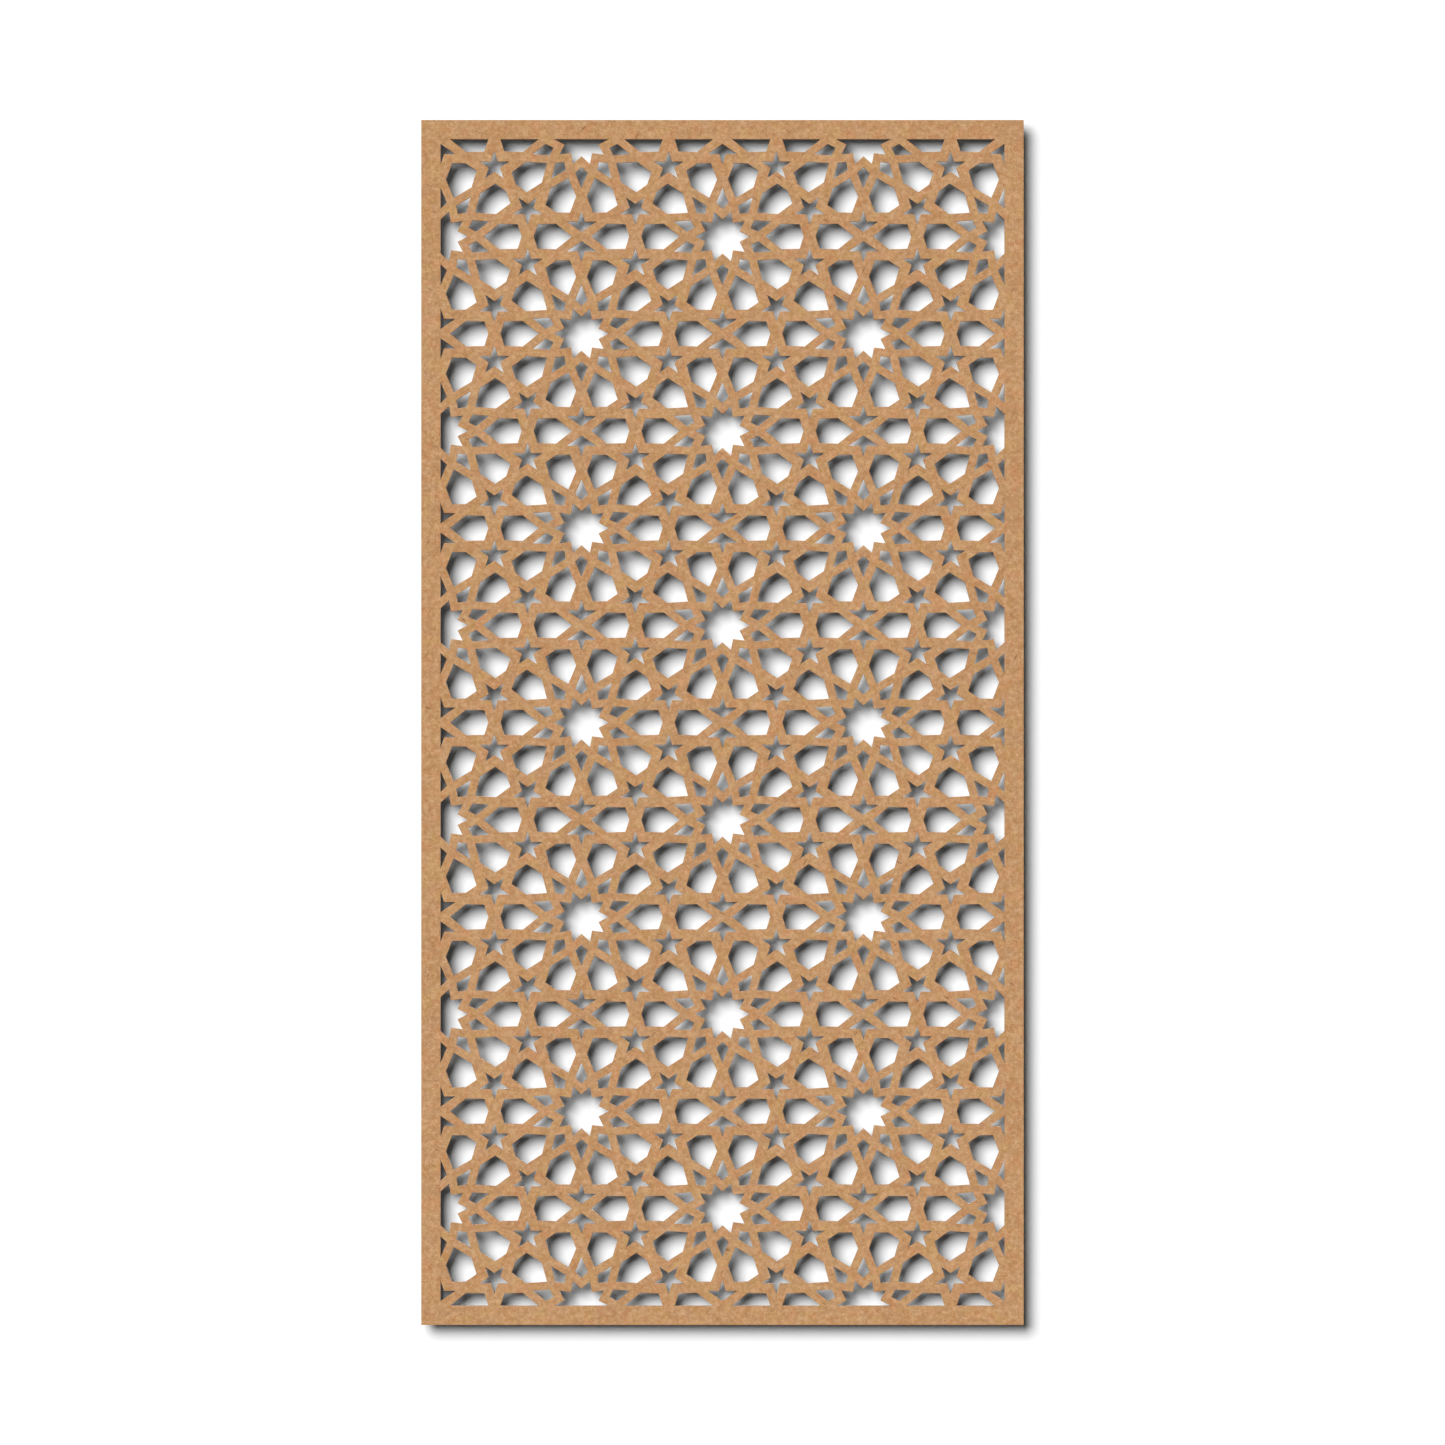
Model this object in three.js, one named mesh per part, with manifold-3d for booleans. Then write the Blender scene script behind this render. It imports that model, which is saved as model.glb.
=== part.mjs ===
// Mashrabiya screen: one thin board with a plain border and a window of ten-fold star tracery cut
// straight through it. It stands upright, with its width along X, its height along Z and its front
// towards -Y. The back face lies in the plane y = 0, and the origin is the middle of that face.
// Lengths are in millimetres and angles in degrees.

import * as THREE from 'three';
import { mergeVertices } from 'three/addons/utils/BufferGeometryUtils.js';
import Module from 'manifold-3d';

const wasm = await Module();
wasm.setup();

// Board
const boardWidth = 600;
const boardHeight = 1200;
const boardThickness = 6;
const borderWidth = 19.2;

// Pattern repeats that fill the window. Half a star stands at the middle of each side of a repeat,
// and straps cross at its corners and at its centre.
const repeatsAcross = 2;
const repeatsUp = 6;

// Lands: how far an opening's edge keeps from the middle of the strap beside it
const starLand = 3.8;
const petalTipLand = 3.8;
const petalSideLand = 5.3;

// Crossings of the straps, as shares of the distance between two neighbouring stars
const notchCrossing = 0.136;
const pointCrossing = 0.208;
const forkCrossing = 0.357;
const heelCrossingAlong = 0.467;
const heelCrossingAside = 0.106;

// Geometry of a ten-fold star
const starPoints = 10;
const pointAngle = 360 / starPoints;
const notchAngle = pointAngle / 2;

// How far the cutting prisms stand out of both faces of the board
const cutterOverrun = 2;

// The window, one repeat of the pattern in it, and the regular star pattern that is stretched
// sideways to fit that repeat
const windowWidth = boardWidth - 2 * borderWidth;
const windowHeight = boardHeight - 2 * borderWidth;
const repeatWidth = windowWidth / repeatsAcross;
const repeatHeight = windowHeight / repeatsUp;
const linkAngle = THREE.MathUtils.degToRad(pointAngle);
const starSpacing = repeatHeight / 2 / Math.sin(linkAngle);
const stretch = repeatWidth / 2 / (starSpacing * Math.cos(linkAngle));

// A point by its distance from the star's centre and its direction
function polar(distance, direction) {
  const angle = THREE.MathUtils.degToRad(direction);
  return new THREE.Vector2(distance * Math.cos(angle), distance * Math.sin(angle));
}

function mirrored(point) {
  return new THREE.Vector2(point.x, -point.y);
}

// The direction into a counter-clockwise tile, square to its edge from start to end
function inwards(start, end) {
  const along = end.clone().sub(start).normalize();
  return new THREE.Vector2(-along.y, along.x);
}

// The opening inside a counter-clockwise tile of the strap net: each edge moves inwards by its own
// land, and each corner goes to where its two moved edges meet
function opening(tile, lands) {
  return tile.map((corner, i) => {
    const last = (i + tile.length - 1) % tile.length;
    const next = (i + 1) % tile.length;
    const a = inwards(tile[last], corner);
    const b = inwards(corner, tile[next]);
    const shift = new THREE.Vector2(
      lands[last] * b.y - lands[i] * a.y,
      lands[i] * a.x - lands[last] * b.x,
    );
    return shift.divideScalar(a.cross(b)).add(corner);
  });
}

// The star's own opening, about its centre
function starOutline() {
  const tile = [];
  for (let k = 0; k < starPoints; k += 1) {
    tile.push(polar(pointCrossing * starSpacing, k * pointAngle));
    tile.push(polar(notchCrossing * starSpacing, k * pointAngle + notchAngle));
  }
  return opening(tile, tile.map(() => starLand));
}

// A petal on the star's +X axis, with its tip towards the star and its blunt end at the crossing
// halfway to the next star
function petalOutline() {
  const tip = polar(pointCrossing * starSpacing, 0);
  const fork = polar(forkCrossing * starSpacing, notchAngle);
  const heel = new THREE.Vector2(heelCrossingAlong, heelCrossingAside).multiplyScalar(starSpacing);
  const end = polar(starSpacing / 2, 0);
  const tile = [tip, mirrored(fork), mirrored(heel), end, heel, fork];
  const side = petalSideLand;
  return opening(tile, [petalTipLand, side, side, side, side, petalTipLand]);
}

function turned(outline, angle) {
  const centre = new THREE.Vector2();
  return outline.map((point) => point.clone().rotateAround(centre, THREE.MathUtils.degToRad(angle)));
}

// The same petal turned end for end across the halfway crossing, which fills the gap between two
// stars of one row
function farOutline(outline) {
  return turned(outline, 180).map((point) => point.setX(point.x + starSpacing));
}

// Every opening that belongs to one star, about its centre, before the stretch
function starGroup() {
  const petal = petalOutline();
  const outlines = [starOutline()];
  for (let k = 0; k < starPoints; k += 1) {
    outlines.push(turned(petal, k * pointAngle));
  }
  outlines.push(farOutline(petal), turned(farOutline(petal), 180));
  return outlines;
}

// The centres of all stars in the window and on its edges: every second crossing of a grid with
// half a repeat between its lines
function starCentres() {
  const centres = [];
  for (let i = 0; i <= 2 * repeatsAcross; i += 1) {
    for (let j = 0; j <= 2 * repeatsUp; j += 1) {
      if ((i + j) % 2 === 1) {
        const x = (i * repeatWidth - windowWidth) / 2;
        const y = (j * repeatHeight - windowHeight) / 2;
        centres.push(new THREE.Vector2(x, y));
      }
    }
  }
  return centres;
}

function rectangle(width, height) {
  return [
    new THREE.Vector2(-width / 2, -height / 2),
    new THREE.Vector2(width / 2, -height / 2),
    new THREE.Vector2(width / 2, height / 2),
    new THREE.Vector2(-width / 2, height / 2),
  ];
}

// A closed solid with a flat outline, from one height above the drawing plane to another
function prism(outline, low, high) {
  const extruded = new THREE.ExtrudeGeometry(new THREE.Shape(outline), {
    depth: high - low,
    bevelEnabled: false,
  });
  extruded.translate(0, 0, low);
  extruded.deleteAttribute('normal');
  extruded.deleteAttribute('uv');
  const merged = mergeVertices(extruded);
  return new wasm.Manifold(new wasm.Mesh({
    numProp: 3,
    vertProperties: new Float32Array(merged.attributes.position.array),
    triVerts: new Uint32Array(merged.index.array),
  }));
}

function cutter(outline) {
  return prism(outline, -cutterOverrun, boardThickness + cutterOverrun);
}

// The board lies in the drawing plane here, with its back face on it
function piercedBoard() {
  const outlines = starGroup();
  const cutters = starCentres().flatMap((centre) => outlines.map((outline) => cutter(
    outline.map((point) => new THREE.Vector2(point.x * stretch, point.y).add(centre)),
  )));
  const tracery = wasm.Manifold.union(cutters).intersect(cutter(rectangle(windowWidth, windowHeight)));
  return prism(rectangle(boardWidth, boardHeight), 0, boardThickness).subtract(tracery);
}

function geometryOf(solid) {
  const mesh = solid.getMesh();
  const geometry = new THREE.BufferGeometry();
  geometry.setAttribute('position', new THREE.BufferAttribute(new Float32Array(mesh.vertProperties), 3));
  geometry.setIndex(new THREE.BufferAttribute(new Uint32Array(mesh.triVerts), 1));
  geometry.computeVertexNormals();
  return geometry;
}

const board = new THREE.MeshStandardMaterial({ color: 0xc2966b, roughness: 0.85, metalness: 0 });

const screenPanel = new THREE.Mesh(geometryOf(piercedBoard()), board);
screenPanel.name = 'screen_panel';
// Standing the drawing plane up turns its front towards -Y
screenPanel.rotation.x = Math.PI / 2;

const group = new THREE.Group();
group.add(screenPanel);

export default group;
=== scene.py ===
# Mashrabiya screen: a thin board of fine fibreboard, cut through by a laser with ten-fold star tracery,
# held a little in front of a white wall. Lengths are in metres and angles in degrees, unless a name
# says otherwise.

import math

import bmesh
import bpy
from mathutils import Matrix, Vector


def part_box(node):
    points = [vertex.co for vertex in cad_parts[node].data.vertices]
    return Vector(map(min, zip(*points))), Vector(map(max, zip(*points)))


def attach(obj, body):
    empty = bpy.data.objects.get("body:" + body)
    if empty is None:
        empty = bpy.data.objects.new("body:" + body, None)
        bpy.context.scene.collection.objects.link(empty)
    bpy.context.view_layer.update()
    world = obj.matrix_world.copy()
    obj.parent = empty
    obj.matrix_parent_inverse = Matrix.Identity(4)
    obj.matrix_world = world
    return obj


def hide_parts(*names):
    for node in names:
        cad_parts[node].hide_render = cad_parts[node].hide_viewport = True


MM = 0.001
NODE = "screen_panel"
BODY = "root"

# Pattern, with the same values as the solid. A land is how far an opening's edge keeps from the
# middle of the strap beside it. The kites, the small stars and the darts are cut here alone.
BORDER_WIDTH = 19.2 * MM
REPEATS_ACROSS = 2
REPEATS_UP = 6
STAR_LAND = 3.8 * MM
KITE_LAND = 3.7 * MM
PETAL_TIP_LAND = 3.8 * MM
PETAL_SIDE_LAND = 5.3 * MM
SMALL_STAR_LAND = 3.55 * MM
# Crossings of the straps, as shares of the distance between two neighbouring stars
NOTCH_CROSSING = 0.136
POINT_CROSSING = 0.208
FORK_CROSSING = 0.357
HEEL_CROSSING_ALONG = 0.467
HEEL_CROSSING_ASIDE = 0.106
STAR_POINTS = 10
SMALL_STAR_POINTS = 5
POINT_ANGLE = 360 / STAR_POINTS
NOTCH_ANGLE = POINT_ANGLE / 2

# The edges of the board and of every cut are eased by this much, on both faces
ARRIS = 0.15 * MM
# Faces whose normal has less than this share along the thickness are cut walls
CUT_TILT = 0.5
# Two points nearer than this are one point
SAME_POINT = 0.001 * MM
# A point nearer than this to the window's edge lies on it, and one further out is trimmed off
TRIM_SLACK = 0.01 * MM

# Camera: square on and from far away through a long lens, as the photograph shows no perspective.
# The heights of the whole photograph and of the board in it are in pixels.
IMAGE_HEIGHT = 1445
BOARD_IN_IMAGE = 1205.03
LENS_MM = 300
SENSOR_MM = 36
SIGHT_LIMIT = 100

# Room: the wall's distance behind the board, its size, and the floor's distance below the board
WALL_GAP = 19 * MM
WALL_HALF_WIDTH = 4.0
WALL_HEIGHT = 5.0
FLOOR_DROP = 0.4

# Suns: the way their light travels, their strength, and the angle that they spread over
SUNS = {
    "window_light": ((0.39, 1.0, -0.39), 3.85, 36),
    "back_light": ((-0.35, -1.0, -0.45), 3.4, 60),
    "top_light": ((0.0, 0.0, -1.0), 2.4, 8),
}

# Colours, as sRGB from 0 to 255
BOARD_COLOUR = (184, 139, 96)
BOARD_SHADE = (178, 133, 90)
BOARD_RED = (192, 132, 90)
BOARD_YELLOW = (184, 147, 90)
BOARD_GREY = (178, 142, 109)
FIBRE_DARK = (153, 105, 62)
FIBRE_LIGHT = (214, 175, 134)
HAIR_COLOUR = (104, 66, 40)
SCORCH_COLOUR = (112, 76, 48)
SCORCH_DARK = (80, 52, 32)
SCORCH_LIGHT = (150, 108, 72)
WALL_COLOUR = (250, 250, 250)
FLOOR_COLOUR = (238, 238, 236)
SKY_COLOUR = (248, 248, 248)
GLOW_COLOUR = (54, 53, 52)
# The sRGB standard's curve: straight up to the first value, and a power of the share above it
SRGB_STRAIGHT_END = 0.04045
SRGB_STRAIGHT_SLOPE = 12.92
SRGB_OFFSET = 0.055
SRGB_POWER = 2.4

# Noise: waves are counted to the metre, a range is the values between which a layer fades in, a
# reach is the same but counted from the noise's middle value, both up and down, and a shift in
# metres keeps one layer from following another.
NOISE_DETAIL = 3.0
NOISE_ROUGHNESS = 0.55
NOISE_MIDDLE = 0.5

# Face of the board: clouds, patches of other tints with their waves and strengths, mottle, fibres
# and dark hairs. Fibres and hairs lie in these directions, this many times longer than wide.
CLOUD_WAVES = 12
CLOUD_RANGE = (0.35, 0.65)
PATCHES = ((BOARD_RED, 75, 0.65), (BOARD_YELLOW, 90, 0.55), (BOARD_GREY, 65, 0.45))
PATCH_RANGE = (0.47, 0.66)
PATCH_SHIFT = 3.1
PATCH_SHIFT_STEP = 2.4
MOTTLE_WAVES = 260
MOTTLE_REACH = (0.0, 0.18)
MOTTLE_STRENGTH = 0.37
MOTTLE_SHIFT = 14.7
FIBRE_WAVES = 800
FIBRE_DETAIL = 2
FIBRE_LENGTH = 6
FIBRE_DIRECTIONS = (8, 52, 97, 141)
FIBRE_REACH = (0.08, 0.24)
FIBRE_STRENGTH = 0.42
FIBRE_SHIFT_STEP = 1.7
FIBRE_DEPTH = 0.02 * MM
HAIR_WAVES = 330
HAIR_DETAIL = 1
HAIR_LENGTH = 5
HAIR_DIRECTIONS = (35, 118)
HAIR_RANGE = (0.71, 0.78)
HAIR_STRENGTH = 0.6
HAIR_SHIFT_STEP = 2.9
FACE_ROUGHNESS = (0.82, 0.92)
FACE_ROUGHNESS_RANGE = (0.3, 0.7)
FACE_GLOSS = 0.25

# Cut walls: darker patches, and the beam's lines, this many times longer than wide
SCORCH_WAVES = 60
SCORCH_RANGE = (0.4, 0.65)
SCORCH_SHIFT = 5.3
BEAM_WAVES = 1500
BEAM_DETAIL = 2
BEAM_LENGTH = 50.0
BEAM_RANGE = (0.5, 0.7)
BEAM_STRENGTH = 0.7
BEAM_DEPTH = 0.06 * MM
CUT_ROUGHNESS = 0.7
CUT_GLOSS = 0.3

PAINT_ROUGHNESS = 0.9
# Space between nodes in the node editor
NODE_SPACE = 180


def linear(colour):
    """The scene-linear RGBA of an sRGB colour from 0 to 255."""
    shares = [part / 255 for part in colour]
    low = [share / SRGB_STRAIGHT_SLOPE for share in shares]
    high = [((share + SRGB_OFFSET) / (1 + SRGB_OFFSET)) ** SRGB_POWER for share in shares]
    return [a if share <= SRGB_STRAIGHT_END else b for share, a, b in zip(shares, low, high)] + [1.0]


# Outlines of the openings


def polar(distance, direction):
    angle = math.radians(direction)
    return Vector((distance * math.cos(angle), distance * math.sin(angle)))


def inwards(start, end):
    """The direction into a counter-clockwise tile, square to its edge from start to end."""
    along = (end - start).normalized()
    return Vector((-along.y, along.x))


def opening(tile, lands):
    """The outline inside a tile of the strap net: each edge moves inwards by its own land."""
    outline = []
    for i, corner in enumerate(tile):
        a = inwards(tile[i - 1], corner)
        b = inwards(corner, tile[(i + 1) % len(tile)])
        shift = Vector((lands[i - 1] * b.y - lands[i] * a.y, lands[i] * a.x - lands[i - 1] * b.x))
        outline.append(corner + shift / (a.x * b.y - a.y * b.x))
    return outline


def turned(points, angle):
    turn = Matrix.Rotation(math.radians(angle), 2)
    return [turn @ point for point in points]


class StarPattern:
    """The openings about one star's centre, each as its tile of the strap net and its lands."""

    def __init__(self, window_width, window_height):
        repeat_width = window_width / REPEATS_ACROSS
        repeat_height = window_height / REPEATS_UP
        link = math.radians(POINT_ANGLE)
        self.half_repeat_height = repeat_height / 2
        self.spacing = self.half_repeat_height / math.sin(link)
        self.stretch = repeat_width / 2 / (self.spacing * math.cos(link))
        self.corner = self.spacing / 2 / math.cos(math.radians(NOTCH_ANGLE))

    def star(self):
        tile = []
        for k in range(STAR_POINTS):
            tile.append(polar(POINT_CROSSING * self.spacing, k * POINT_ANGLE))
            tile.append(polar(NOTCH_CROSSING * self.spacing, k * POINT_ANGLE + NOTCH_ANGLE))
        return tile, [STAR_LAND] * len(tile)

    def kite(self):
        """On the axis of a notch, which is +X here."""
        point = POINT_CROSSING * self.spacing
        tile = [
            polar(NOTCH_CROSSING * self.spacing, 0),
            polar(point, -NOTCH_ANGLE),
            polar(FORK_CROSSING * self.spacing, 0),
            polar(point, NOTCH_ANGLE),
        ]
        return tile, [KITE_LAND] * len(tile)

    def petal(self):
        """On the axis of a star's point, which is +X here."""
        heel = Vector((HEEL_CROSSING_ALONG, HEEL_CROSSING_ASIDE)) * self.spacing
        tile = [
            polar(POINT_CROSSING * self.spacing, 0),
            polar(FORK_CROSSING * self.spacing, -NOTCH_ANGLE),
            Vector((heel.x, -heel.y)),
            polar(self.spacing / 2, 0),
            heel,
            polar(FORK_CROSSING * self.spacing, NOTCH_ANGLE),
        ]
        side = PETAL_SIDE_LAND
        return tile, [PETAL_TIP_LAND, side, side, side, side, PETAL_TIP_LAND]

    def far_petal(self):
        """The petal beyond the halfway crossing to the next star of the row, turned end for end."""
        tile, lands = self.petal()
        return [point + Vector((self.spacing, 0)) for point in turned(tile, 180)], lands

    def five_points(self):
        """The net's five-pointed star about a corner where two stars' decagons meet, as tips and
        waists by turns, counter-clockwise from the tip that faces the star."""
        step = 180 / SMALL_STAR_POINTS
        half_tip = step / 2
        tip = self.corner * math.sin(math.radians(NOTCH_ANGLE))
        waist = tip * math.sin(math.radians(half_tip)) / math.sin(math.radians(half_tip + step))
        centre = Vector((self.corner, 0))
        corners = range(2 * SMALL_STAR_POINTS)
        return [centre + polar(waist if k % 2 else tip, 180 + step * k) for k in corners]

    def small_star(self):
        tile = self.five_points()
        return tile, [SMALL_STAR_LAND] * len(tile)

    def dart(self):
        """The three near tips of a small star, closed by one blunt corner halfway to the star
        above."""
        five = self.five_points()
        tile = five[:3] + [Vector((self.half_repeat_height, 0))] + five[-2:]
        return tile, [SMALL_STAR_LAND] * len(tile)

    def all_openings(self):
        """(outline inside the board, outline of its mouth in the faces) of each opening of one star.
        A small star lies between two stars, so each star makes only the four in its upper half."""
        up, down = 90, 270
        points = [k * POINT_ANGLE for k in range(STAR_POINTS)]
        notches = [angle + NOTCH_ANGLE for angle in points]
        upper_notches = [angle for angle in notches if angle < 180 and angle != up]
        groups = [
            (self.star(), [0]),
            (self.kite(), notches),
            (self.petal(), points),
            (self.far_petal(), [0, 180]),
            (self.small_star(), upper_notches),
            (self.dart(), [up, down]),
        ]
        for (tile, lands), angles in groups:
            outline = opening(tile, [land + ARRIS for land in lands])
            mouth = opening(tile, lands)
            for angle in angles:
                yield turned(outline, angle), turned(mouth, angle)


def openings_mesh(pattern):
    """One star's openings as closed loops of edges, each point with the way to its mouth."""
    mesh = bpy.data.meshes.new("star_openings")
    points, edges, flares = [], [], []
    for outline, mouth in pattern.all_openings():
        first = len(points)
        count = len(outline)
        points += [(point.x, point.y, 0) for point in outline]
        edges += [(first + i, first + (i + 1) % count) for i in range(count)]
        flares += [(outer.x - point.x, outer.y - point.y, 0) for point, outer in zip(outline, mouth)]
    mesh.from_pydata(points, edges, [])
    attribute = mesh.attributes.new("flare", "FLOAT_VECTOR", "POINT")
    for item, flare in zip(attribute.data, flares):
        item.vector = flare
    return mesh


# Node trees


class Tree:
    """Adds nodes to a node tree, left to right, and links what they are given."""

    def __init__(self, tree):
        self.tree = tree

    def add(self, kind, inputs=None, **settings):
        """A new node. inputs maps an input's name or number to a value or to another socket."""
        node = self.tree.nodes.new(kind)
        node.location.x = NODE_SPACE * len(self.tree.nodes)
        for name, value in settings.items():
            setattr(node, name, value)
        for key, value in (inputs or {}).items():
            if isinstance(value, bpy.types.NodeSocket):
                self.tree.links.new(value, node.inputs[key])
            else:
                node.inputs[key].default_value = value
        return node


class Shapes(Tree):
    """Short forms of the geometry nodes' arithmetic."""

    def math(self, operation, *values):
        return self.add("ShaderNodeMath", dict(enumerate(values)), operation=operation).outputs[0]

    def both(self, a, b):
        return self.add("FunctionNodeBooleanMath", {0: a, 1: b}, operation="AND").outputs[0]

    def either(self, a, b):
        return self.add("FunctionNodeBooleanMath", {0: a, 1: b}, operation="OR").outputs[0]

    def greater(self, a, b):
        compare = self.add("FunctionNodeCompare", {0: a, 1: b}, data_type="FLOAT")
        compare.operation = "GREATER_THAN"
        return compare.outputs[0]

    def vector(self, x, y, z):
        return self.add("ShaderNodeCombineXYZ", {0: x, 1: y, 2: z}).outputs[0]

    def apart(self, vector):
        return self.add("ShaderNodeSeparateXYZ", {0: vector}).outputs

    def choose(self, condition, otherwise, then):
        inputs = {"Switch": condition, "False": otherwise, "True": then}
        return self.add("GeometryNodeSwitch", inputs, input_type="FLOAT").outputs[0]

    def flare(self):
        node = self.add("GeometryNodeInputNamedAttribute", {"Name": "flare"}, data_type="FLOAT_VECTOR")
        return node.outputs[0]

    def keep_flare(self, geometry, flare):
        inputs = {"Geometry": geometry, "Name": "flare", "Value": flare}
        settings = {"data_type": "FLOAT_VECTOR", "domain": "POINT"}
        return self.add("GeometryNodeStoreNamedAttribute", inputs, **settings).outputs[0]

    def moved(self, geometry, offset, selection=True):
        inputs = {"Geometry": geometry, "Selection": selection, "Offset": offset}
        return self.add("GeometryNodeSetPosition", inputs).outputs[0]

    def joined(self, *geometries):
        node = self.add("GeometryNodeJoinGeometry")
        for geometry in geometries:
            self.tree.links.new(geometry, node.inputs[0])
        return node.outputs[0]


# Inputs of the tree below, besides the openings of one star
SIZES = (
    ("Board Width", "NodeSocketFloat"),
    ("Board Height", "NodeSocketFloat"),
    ("Thickness", "NodeSocketFloat"),
    ("Border", "NodeSocketFloat"),
    ("Arris", "NodeSocketFloat"),
    ("Stretch", "NodeSocketFloat"),
    ("Repeats Across", "NodeSocketInt"),
    ("Repeats Up", "NodeSocketInt"),
    ("Face", "NodeSocketMaterial"),
    ("Cut", "NodeSocketMaterial"),
)


def star_centres(t, size, width, height):
    """A grid of points half a repeat apart, and which of them are star centres: every second one."""
    columns = t.math("MULTIPLY", size["Repeats Across"], 2)
    rows = t.math("MULTIPLY", size["Repeats Up"], 2)
    grid = t.add("GeometryNodeMeshGrid", {
        "Size X": width,
        "Size Y": height,
        "Vertices X": t.math("ADD", columns, 1),
        "Vertices Y": t.math("ADD", rows, 1),
    })
    place = t.apart(t.add("GeometryNodeInputPosition").outputs[0])
    steps = [
        t.math("ROUND", t.math("MULTIPLY", t.math("ADD", t.math("DIVIDE", along, whole), 0.5), count))
        for along, whole, count in ((place[0], width, columns), (place[1], height, rows))
    ]
    odd = t.math("MODULO", t.math("ADD", steps[0], steps[1]), 2)
    return grid.outputs["Mesh"], t.greater(odd, 0.5)


def trimmed(t, outlines, size, width, height):
    """Outlines without the points that lie outside the window. A point on the window's edge, where
    an opening is cut in half, flares straight out of the window."""
    place = t.apart(t.add("GeometryNodeInputPosition").outputs[0])
    sides = []
    for along, whole in ((place[0], width), (place[1], height)):
        sides.append((along, t.math("ABSOLUTE", along), t.math("MULTIPLY", whole, 0.5)))
    outside = [t.greater(far, t.math("ADD", half, TRIM_SLACK)) for _, far, half in sides]
    selection = {"Geometry": outlines, "Selection": t.either(*outside)}
    kept = t.add("GeometryNodeDeleteGeometry", selection, domain="POINT").outputs[0]
    flare = t.apart(t.flare())
    parts = []
    for (along, far, half), own in zip(sides, flare):
        on_edge = t.greater(far, t.math("SUBTRACT", half, TRIM_SLACK))
        out = t.math("MULTIPLY", t.math("SIGN", along), size["Arris"])
        parts.append(t.choose(on_edge, own, out))
    return t.keep_flare(kept, t.vector(parts[0], parts[1], 0.0))


def rim(t, size):
    """The board's own outline, which flares inwards."""
    inputs = {"Width": size["Board Width"], "Height": size["Board Height"]}
    outline = t.add("GeometryNodeCurvePrimitiveQuadrilateral", inputs).outputs[0]
    place = t.apart(t.add("GeometryNodeInputPosition").outputs[0])
    back = t.math("MULTIPLY", size["Arris"], -1.0)
    flare = [t.math("MULTIPLY", t.math("SIGN", along), back) for along in place[:2]]
    return t.keep_flare(outline, t.vector(flare[0], flare[1], 0.0))


def cut_walls(t, outlines, size):
    """The walls of all cuts, from the back face up: eased edge, straight wall, eased edge."""
    flare = t.flare()
    inward = t.add("ShaderNodeVectorMath", {0: flare, "Scale": -1.0}, operation="SCALE").outputs[0]
    walls = t.add("GeometryNodeCurveToMesh", {"Curve": t.moved(outlines, flare)}).outputs[0]
    straight = t.math("SUBTRACT", size["Thickness"], t.math("MULTIPLY", size["Arris"], 2.0))
    top = True
    for rise, shift in ((size["Arris"], inward), (straight, None), (size["Arris"], flare)):
        inputs = {"Mesh": walls, "Selection": top, "Offset": t.vector(0.0, 0.0, rise)}
        step = t.add("GeometryNodeExtrudeMesh", inputs, mode="EDGES")
        walls, top = step.outputs["Mesh"], step.outputs["Top"]
        if shift is not None:
            walls = t.moved(walls, shift, top)
    return walls


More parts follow.
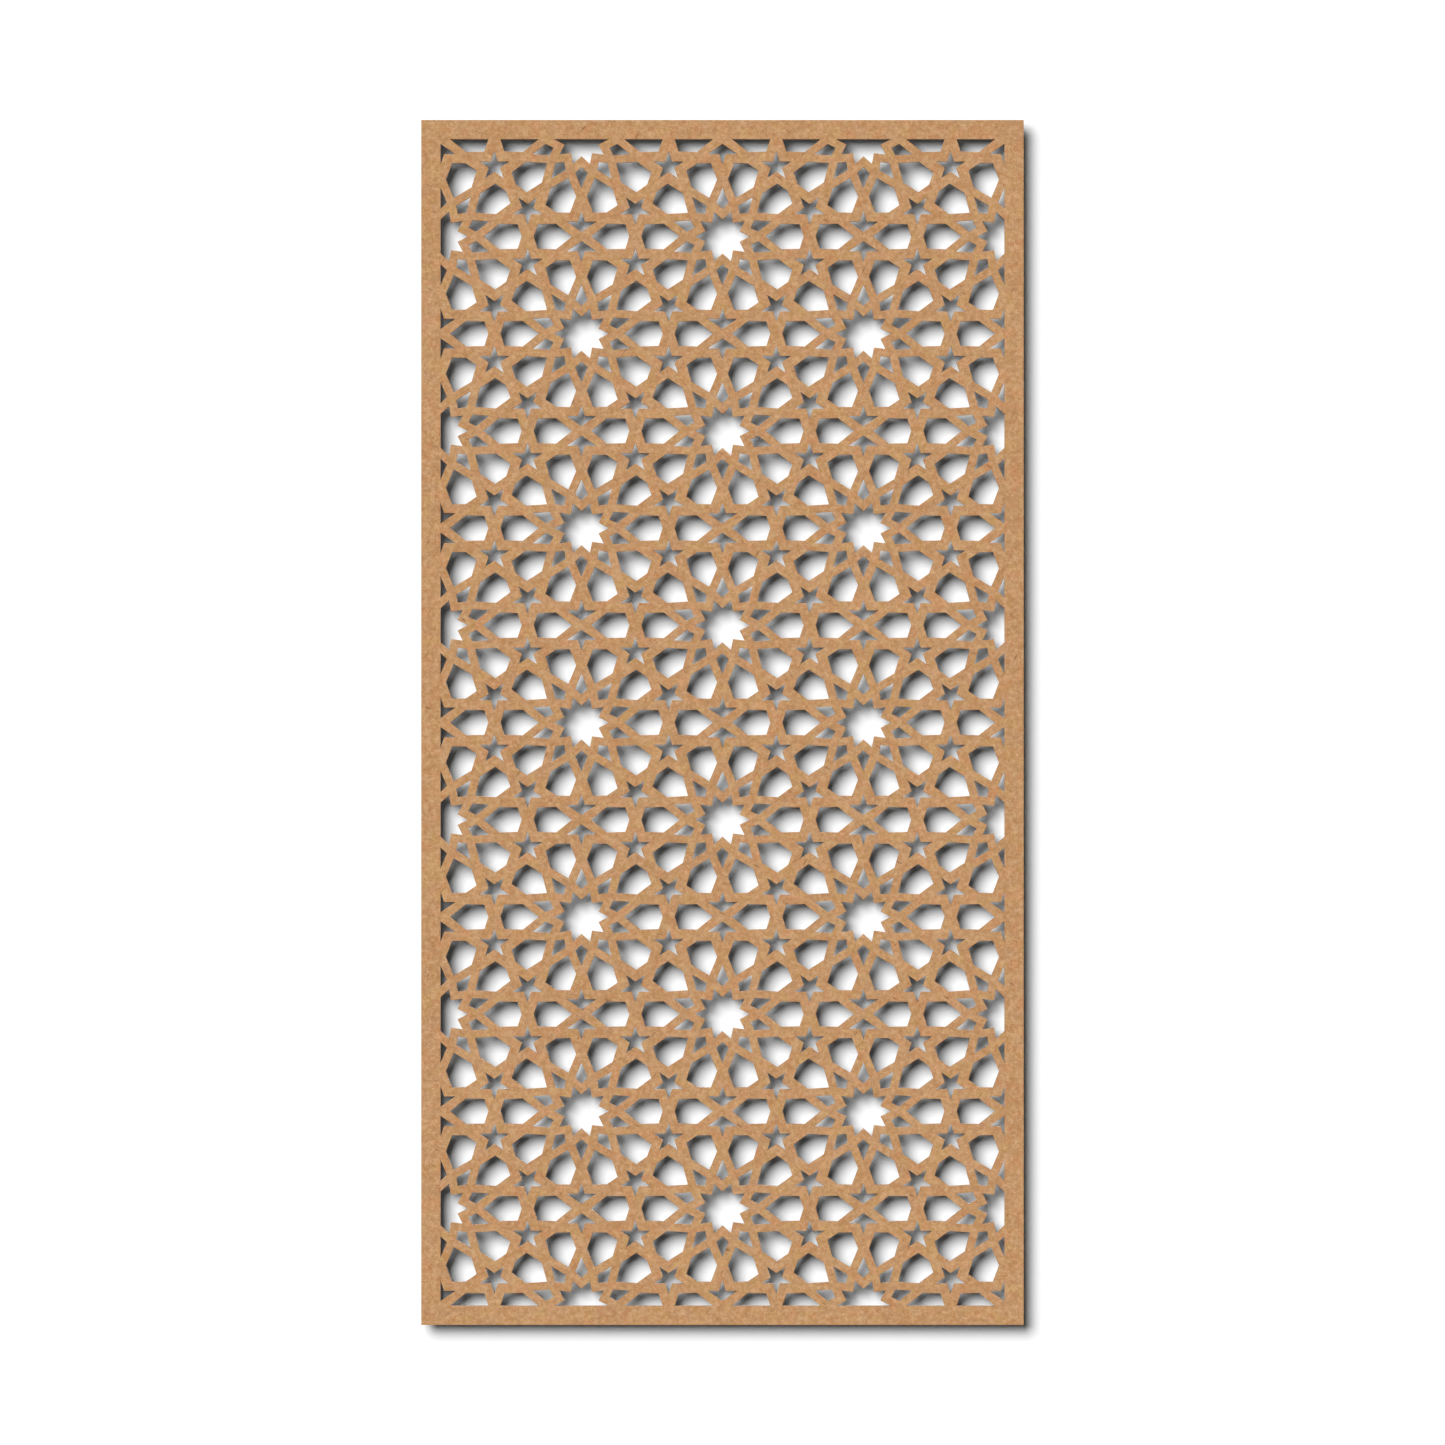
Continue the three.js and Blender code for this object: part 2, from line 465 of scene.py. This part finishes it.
def pierced_board_tree():
    """The tree that repeats one star's openings over the window and cuts them through the board."""
    tree = bpy.data.node_groups.new("pierced_board", "GeometryNodeTree")
    tree.interface.new_socket("Geometry", in_out="OUTPUT", socket_type="NodeSocketGeometry")
    tree.interface.new_socket("Openings", in_out="INPUT", socket_type="NodeSocketGeometry")
    for name, kind in SIZES:
        tree.interface.new_socket(name, in_out="INPUT", socket_type=kind)
    t = Shapes(tree)
    size = t.add("NodeGroupInput").outputs
    border = t.math("MULTIPLY", size["Border"], 2.0)
    width = t.math("SUBTRACT", size["Board Width"], border)
    height = t.math("SUBTRACT", size["Board Height"], border)

    one_star = t.add("GeometryNodeMeshToCurve", {"Mesh": size["Openings"]}).outputs[0]
    grid, is_centre = star_centres(t, size, width, height)
    stars = t.add("GeometryNodeInstanceOnPoints", {
        "Points": grid,
        "Selection": is_centre,
        "Instance": one_star,
        "Scale": t.vector(size["Stretch"], 1.0, 1.0),
    }).outputs[0]
    loose = t.add("GeometryNodeRealizeInstances", {"Geometry": stars}).outputs[0]
    outlines = t.joined(trimmed(t, loose, size, width, height), rim(t, size))

    filled = {"Curve": t.moved(outlines, t.flare())}
    face = t.add("GeometryNodeFillCurve", filled, mode="TRIANGLES").outputs[0]
    lift = t.vector(0.0, 0.0, size["Thickness"])
    front = t.add("GeometryNodeTransform", {"Geometry": face, "Translation": lift}).outputs[0]
    back = t.add("GeometryNodeFlipFaces", {"Mesh": face}).outputs[0]
    solid = t.joined(front, back, cut_walls(t, outlines, size))
    welded = {"Geometry": solid, "Distance": SAME_POINT}
    solid = t.add("GeometryNodeMergeByDistance", welded).outputs[0]
    upright = {"Geometry": solid, "Rotation": (math.pi / 2, 0.0, 0.0)}
    solid = t.add("GeometryNodeTransform", upright).outputs[0]
    solid = t.add("GeometryNodeRemoveAttribute", {"Geometry": solid, "Name": "flare"}).outputs[0]
    flat = {"Geometry": solid, "Shade Smooth": False}
    solid = t.add("GeometryNodeSetShadeSmooth", flat).outputs[0]

    solid = t.add("GeometryNodeRealizeInstances", {"Geometry": solid}).outputs[0]
    faced = {"Geometry": solid, "Material": size["Face"]}
    solid = t.add("GeometryNodeSetMaterial", faced).outputs[0]
    normal = t.apart(t.add("GeometryNodeInputNormal").outputs[0])
    is_cut = t.greater(CUT_TILT, t.math("ABSOLUTE", normal[1]))
    cut = {"Geometry": solid, "Selection": is_cut, "Material": size["Cut"]}
    solid = t.add("GeometryNodeSetMaterial", cut).outputs[0]
    t.add("NodeGroupOutput", {"Geometry": solid})
    return tree


def make_panel(low, high, face, cut):
    """The board with all its openings, as a plain mesh in the place of the solid."""
    board = high - low
    window_width = board.x - 2 * BORDER_WIDTH
    window_height = board.z - 2 * BORDER_WIDTH
    pattern = StarPattern(window_width, window_height)
    maker = bpy.data.objects.new("panel_maker", openings_mesh(pattern))
    bpy.context.scene.collection.objects.link(maker)
    modifier = maker.modifiers.new("pierced_board", "NODES")
    modifier.node_group = pierced_board_tree()
    values = {
        "Board Width": board.x,
        "Board Height": board.z,
        "Thickness": board.y,
        "Border": BORDER_WIDTH,
        "Arris": ARRIS,
        "Stretch": pattern.stretch,
        "Repeats Across": REPEATS_ACROSS,
        "Repeats Up": REPEATS_UP,
        "Face": face,
        "Cut": cut,
    }
    for item in modifier.node_group.interface.items_tree:
        if item.name in values:
            modifier[item.identifier] = values[item.name]
    evaluated = maker.evaluated_get(bpy.context.evaluated_depsgraph_get())
    mesh = bpy.data.meshes.new_from_object(evaluated)
    bpy.data.objects.remove(maker)
    mesh.transform(Matrix.Translation(((low.x + high.x) / 2, high.y, (low.z + high.z) / 2)))
    face_outwards(mesh)
    mesh.name = "pierced_panel"
    panel = bpy.data.objects.new("pierced_panel", mesh)
    bpy.context.scene.collection.objects.link(panel)
    return panel


def face_outwards(mesh):
    shape = bmesh.new()
    shape.from_mesh(mesh)
    bmesh.ops.recalc_face_normals(shape, faces=shape.faces)
    shape.to_mesh(mesh)
    shape.free()


# Materials


class Shader(Tree):
    """A new material's nodes, read in the object's own coordinates."""

    def __init__(self, name):
        self.material = bpy.data.materials.new(name)
        self.material.use_nodes = True
        super().__init__(self.material.node_tree)
        self.surface = self.tree.nodes["Principled BSDF"]
        self.place = self.add("ShaderNodeTexCoord").outputs["Object"]

    def noise(self, waves, detail=NOISE_DETAIL, longer=(1.0, 1.0, 1.0), turn=0.0, shift=0.0):
        """Noise with this many waves a metre. Its waves are this many times longer along each axis
        of a frame that is turned about Y."""
        mapped = self.add("ShaderNodeMapping", {
            "Vector": self.place,
            "Location": (shift, shift, shift),
            "Rotation": (0.0, math.radians(turn), 0.0),
            "Scale": longer,
        }, vector_type="TEXTURE").outputs[0]
        inputs = {"Vector": mapped, "Scale": waves, "Detail": detail, "Roughness": NOISE_ROUGHNESS}
        return self.add("ShaderNodeTexNoise", inputs).outputs[0]

    def ramp(self, value, low, high, to_low=0.0, to_high=1.0):
        """The value spread from one range over another, and held at its ends."""
        inputs = {0: value, 1: low, 2: high, 3: to_low, 4: to_high}
        return self.add("ShaderNodeMapRange", inputs, clamp=True).outputs[0]

    def mix(self, factor, a, b):
        inputs = {"Factor": factor, 6: a, 7: b}
        return self.add("ShaderNodeMix", inputs, data_type="RGBA").outputs[2]

    def math(self, operation, *values):
        return self.add("ShaderNodeMath", dict(enumerate(values)), operation=operation).outputs[0]

    def two_ways(self, colour, noise, reach, strength):
        """The colour with darker fibre where the noise is this far over its middle value, and with
        lighter fibre where it is as far under it."""
        start, full = reach
        for way, fibre in ((1, FIBRE_DARK), (-1, FIBRE_LIGHT)):
            shown = self.ramp(noise, NOISE_MIDDLE + way * start, NOISE_MIDDLE + way * full)
            colour = self.mix(self.math("MULTIPLY", shown, strength), colour, linear(fibre))
        return colour

    def bump(self, height, depth):
        inputs = {"Height": height, "Distance": depth, "Strength": 1.0}
        self.tree.links.new(self.add("ShaderNodeBump", inputs).outputs[0], self.surface.inputs["Normal"])


def fibreboard():
    """Sanded face: a tan ground in redder, yellower and greyer patches, with fine fibres lying
    every way and a few dark hairs."""
    s = Shader("fibreboard_face")
    clouds = s.ramp(s.noise(CLOUD_WAVES), *CLOUD_RANGE)
    colour = s.mix(clouds, linear(BOARD_COLOUR), linear(BOARD_SHADE))
    for k, (tint, waves, strength) in enumerate(PATCHES):
        patch = s.ramp(s.noise(waves, shift=PATCH_SHIFT + PATCH_SHIFT_STEP * k), *PATCH_RANGE)
        colour = s.mix(s.math("MULTIPLY", patch, strength), colour, linear(tint))
    mottle = s.noise(MOTTLE_WAVES, shift=MOTTLE_SHIFT)
    colour = s.two_ways(colour, mottle, MOTTLE_REACH, MOTTLE_STRENGTH)
    fibres = mottle
    for k, turn in enumerate(FIBRE_DIRECTIONS):
        longer = (1.0, 1.0, FIBRE_LENGTH)
        strand = s.noise(FIBRE_WAVES, FIBRE_DETAIL, longer, turn, FIBRE_SHIFT_STEP * k)
        colour = s.two_ways(colour, strand, FIBRE_REACH, FIBRE_STRENGTH)
        fibres = s.math("ADD", fibres, strand)
    for k, turn in enumerate(HAIR_DIRECTIONS):
        hair = s.noise(HAIR_WAVES, HAIR_DETAIL, (1.0, 1.0, HAIR_LENGTH), turn, HAIR_SHIFT_STEP * k)
        shown = s.math("MULTIPLY", s.ramp(hair, *HAIR_RANGE), HAIR_STRENGTH)
        colour = s.mix(shown, colour, linear(HAIR_COLOUR))
    s.tree.links.new(colour, s.surface.inputs["Base Color"])
    roughness = s.ramp(mottle, *FACE_ROUGHNESS_RANGE, *FACE_ROUGHNESS)
    s.tree.links.new(roughness, s.surface.inputs["Roughness"])
    s.surface.inputs["Specular IOR Level"].default_value = FACE_GLOSS
    s.bump(fibres, FIBRE_DEPTH)
    return s.material


def scorched_cut():
    """Laser-cut wall: browned, with fine lines left by the beam straight through the board."""
    s = Shader("scorched_cut")
    lines = s.noise(BEAM_WAVES, BEAM_DETAIL, longer=(1.0, BEAM_LENGTH, 1.0))
    patches = s.ramp(s.noise(SCORCH_WAVES, shift=SCORCH_SHIFT), *SCORCH_RANGE)
    colour = s.mix(patches, linear(SCORCH_COLOUR), linear(SCORCH_DARK))
    shown = s.math("MULTIPLY", s.ramp(lines, *BEAM_RANGE), BEAM_STRENGTH)
    colour = s.mix(shown, colour, linear(SCORCH_LIGHT))
    s.tree.links.new(colour, s.surface.inputs["Base Color"])
    s.surface.inputs["Roughness"].default_value = CUT_ROUGHNESS
    s.surface.inputs["Specular IOR Level"].default_value = CUT_GLOSS
    s.bump(lines, BEAM_DEPTH)
    return s.material


def one_sided_paint(name, colour):
    """Matt paint on the side that faces the room; the other side lets all light through."""
    s = Shader(name)
    s.surface.inputs["Base Color"].default_value = linear(colour)
    s.surface.inputs["Roughness"].default_value = PAINT_ROUGHNESS
    s.surface.inputs["Specular IOR Level"].default_value = 0.0
    behind = s.add("ShaderNodeNewGeometry").outputs["Backfacing"]
    clear = s.add("ShaderNodeBsdfTransparent").outputs[0]
    either = s.add("ShaderNodeMixShader", {0: behind, 1: s.surface.outputs[0], 2: clear}).outputs[0]
    s.tree.links.new(either, s.tree.nodes["Material Output"].inputs["Surface"])
    return s.material


# Room, light and camera


def throw_no_glow(thing):
    """The light that this thing scatters colours nothing near it, as in the photograph."""
    thing.visible_diffuse = False


def flat_sheet(name, corners, material):
    """A one-sided sheet that faces the side from which its corners run counter-clockwise. It casts
    no shadow, so that the light from behind reaches the board's back and edges."""
    mesh = bpy.data.meshes.new(name)
    mesh.from_pydata(corners, [], [tuple(range(len(corners)))])
    mesh.materials.append(material)
    sheet = bpy.data.objects.new(name, mesh)
    bpy.context.scene.collection.objects.link(sheet)
    throw_no_glow(sheet)
    sheet.visible_shadow = False


def make_room(low, high):
    floor = low.z - FLOOR_DROP
    wall = high.y + WALL_GAP
    side = WALL_HALF_WIDTH
    top = floor + WALL_HEIGHT
    wall_corners = [(-side, wall, floor), (side, wall, floor), (side, wall, top), (-side, wall, top)]
    flat_sheet("wall", wall_corners, one_sided_paint("wall_paint", WALL_COLOUR))
    floor_corners = [(-side, -side, floor), (side, -side, floor), (side, side, floor), (-side, side, floor)]
    flat_sheet("floor", floor_corners, one_sided_paint("floor_paint", FLOOR_COLOUR))


def make_sun(name, direction, strength, spread):
    """Even light that travels in this direction, softened over this many degrees. It is sampled
    straight from what it lights, because scattered rays would pass through what throws no glow."""
    light = bpy.data.lights.new(name, "SUN")
    light.energy = strength
    light.angle = math.radians(spread)
    light.cycles.use_multiple_importance_sampling = False
    lamp = bpy.data.objects.new(name, light)
    lamp.rotation_mode = "QUATERNION"
    lamp.rotation_quaternion = Vector(direction).to_track_quat("-Z", "Y")
    bpy.context.scene.collection.objects.link(lamp)


def make_lights():
    """The suns, and a world that is pale to look at and gives a faint even glow."""
    for name, (direction, strength, spread) in SUNS.items():
        make_sun(name, direction, strength, spread)
    world = bpy.data.worlds.new("studio")
    world.use_nodes = True
    t = Tree(world.node_tree)
    glow = t.tree.nodes["Background"]
    glow.inputs["Color"].default_value = linear(GLOW_COLOUR)
    pale = t.add("ShaderNodeBackground", {"Color": linear(SKY_COLOUR)}).outputs[0]
    is_seen = t.add("ShaderNodeLightPath").outputs["Is Camera Ray"]
    either = t.add("ShaderNodeMixShader", {0: is_seen, 1: glow.outputs[0], 2: pale}).outputs[0]
    t.tree.links.new(either, t.tree.nodes["World Output"].inputs["Surface"])
    bpy.context.scene.world = world


def make_camera(low, high):
    data = bpy.data.cameras.new("camera")
    data.lens = LENS_MM
    data.sensor_width = SENSOR_MM
    data.clip_end = SIGHT_LIMIT
    seen_height = (high.z - low.z) * IMAGE_HEIGHT / BOARD_IN_IMAGE
    distance = seen_height * LENS_MM / SENSOR_MM
    camera = bpy.data.objects.new("camera", data)
    camera.location = ((low.x + high.x) / 2, low.y - distance, (low.z + high.z) / 2)
    camera.rotation_euler = (math.pi / 2, 0, 0)
    bpy.context.scene.collection.objects.link(camera)
    bpy.context.scene.camera = camera


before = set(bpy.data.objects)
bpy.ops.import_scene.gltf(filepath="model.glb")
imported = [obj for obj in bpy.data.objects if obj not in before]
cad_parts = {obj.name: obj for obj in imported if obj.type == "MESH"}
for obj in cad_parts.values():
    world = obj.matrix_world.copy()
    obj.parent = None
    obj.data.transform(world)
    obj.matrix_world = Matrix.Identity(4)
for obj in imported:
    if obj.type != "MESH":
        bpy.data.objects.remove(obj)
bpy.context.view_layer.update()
node_low, node_high = (Vector(corner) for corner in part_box(NODE))

make_camera(node_low, node_high)
make_room(node_low, node_high)
make_lights()
bpy.context.scene.view_settings.view_transform = "Standard"

panel = make_panel(node_low, node_high, fibreboard(), scorched_cut())
throw_no_glow(panel)
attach(panel, BODY)
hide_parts(NODE)
